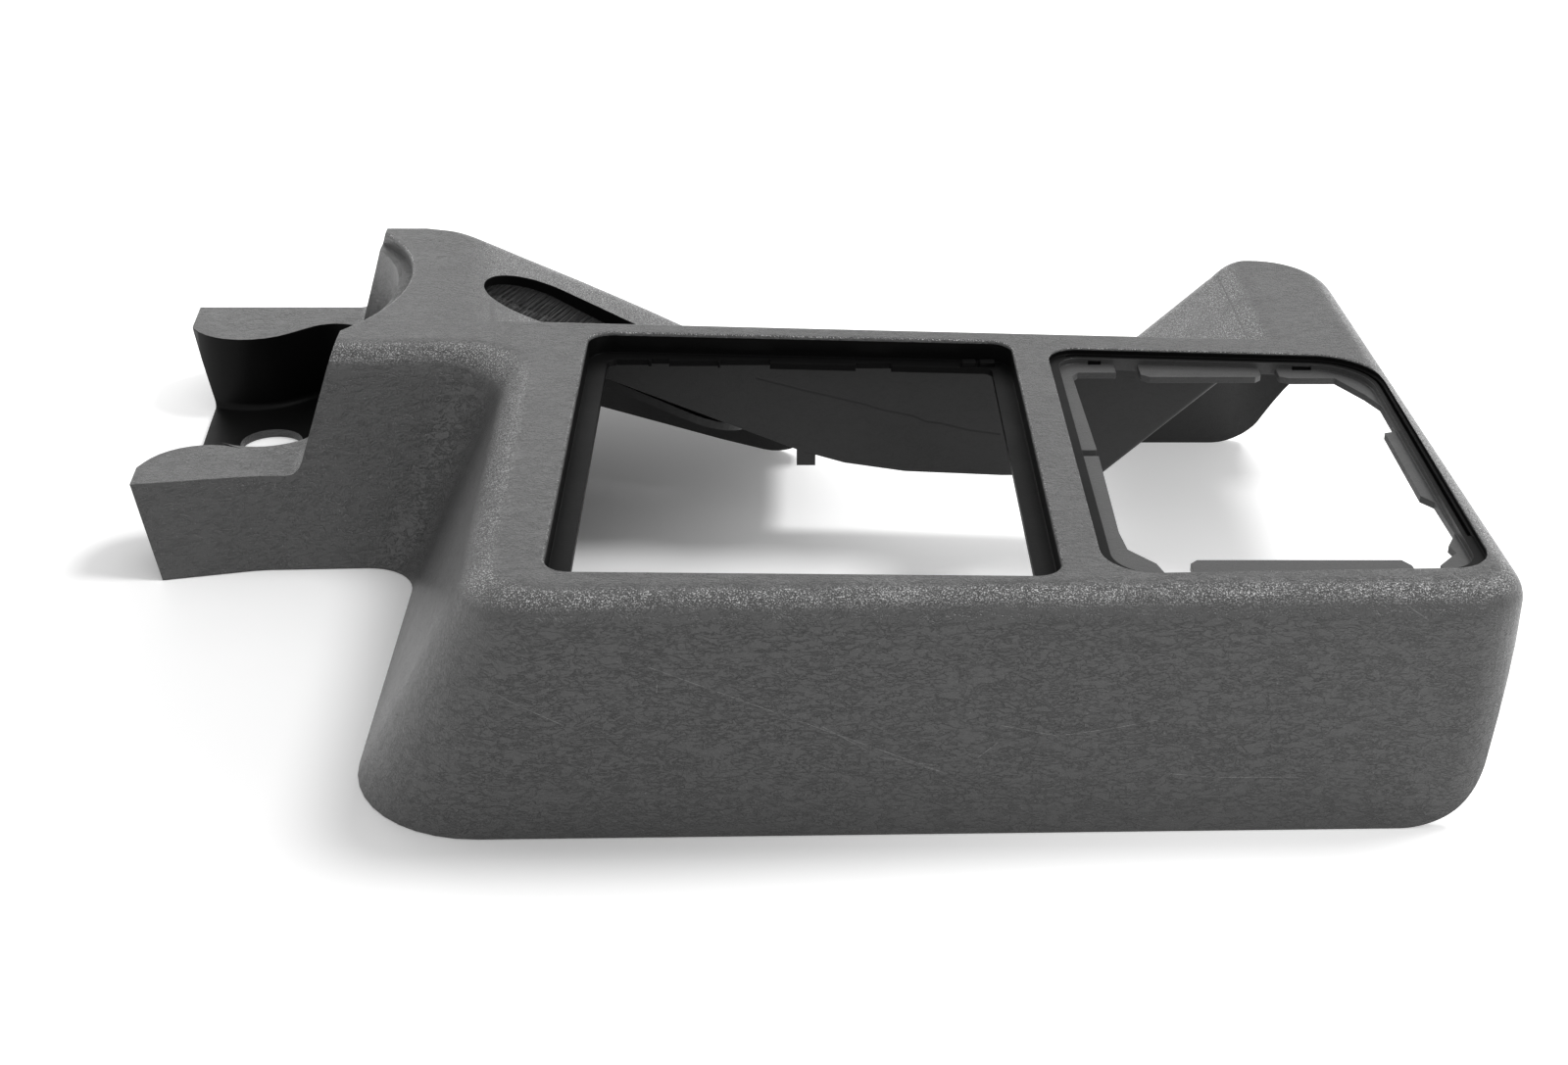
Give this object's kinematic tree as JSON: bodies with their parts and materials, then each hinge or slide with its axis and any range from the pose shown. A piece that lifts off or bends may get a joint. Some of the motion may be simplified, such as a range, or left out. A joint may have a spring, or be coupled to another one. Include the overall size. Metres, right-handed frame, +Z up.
{
  "type": "car center console",
  "caption": "Moulded car centre console shell with deck openings, a cup trough, a hand lever panel whose slot is closed by a brush seal, and a raised wing beside the lever pit.",
  "frame": {"origin": "centre of the fixing hole in the trough's floor, at the floor's underside, which is level with the foot of the walls", "axes": "+X along the deck from the cup trough to the open end, +Y from the tall near wall towards the lever panel, +Z up out of the fixing hole"},
  "size_m": [0.414, 0.3223, 0.072],
  "materials": {
    "shell_plastic": "leather-grained satin moulding, worn along the edges",
    "frame_plastic": "plain matt",
    "bristle": "short dense bristles",
    "screw_metal": "dull zinc"
  },
  "bodies": {
    "root": {"console_shell": "shell_plastic", "brush_frame": "frame_plastic", "near_brush": "bristle", "far_brush": "bristle", "frame_screws": "screw_metal"}
  },
  "joints": []
}
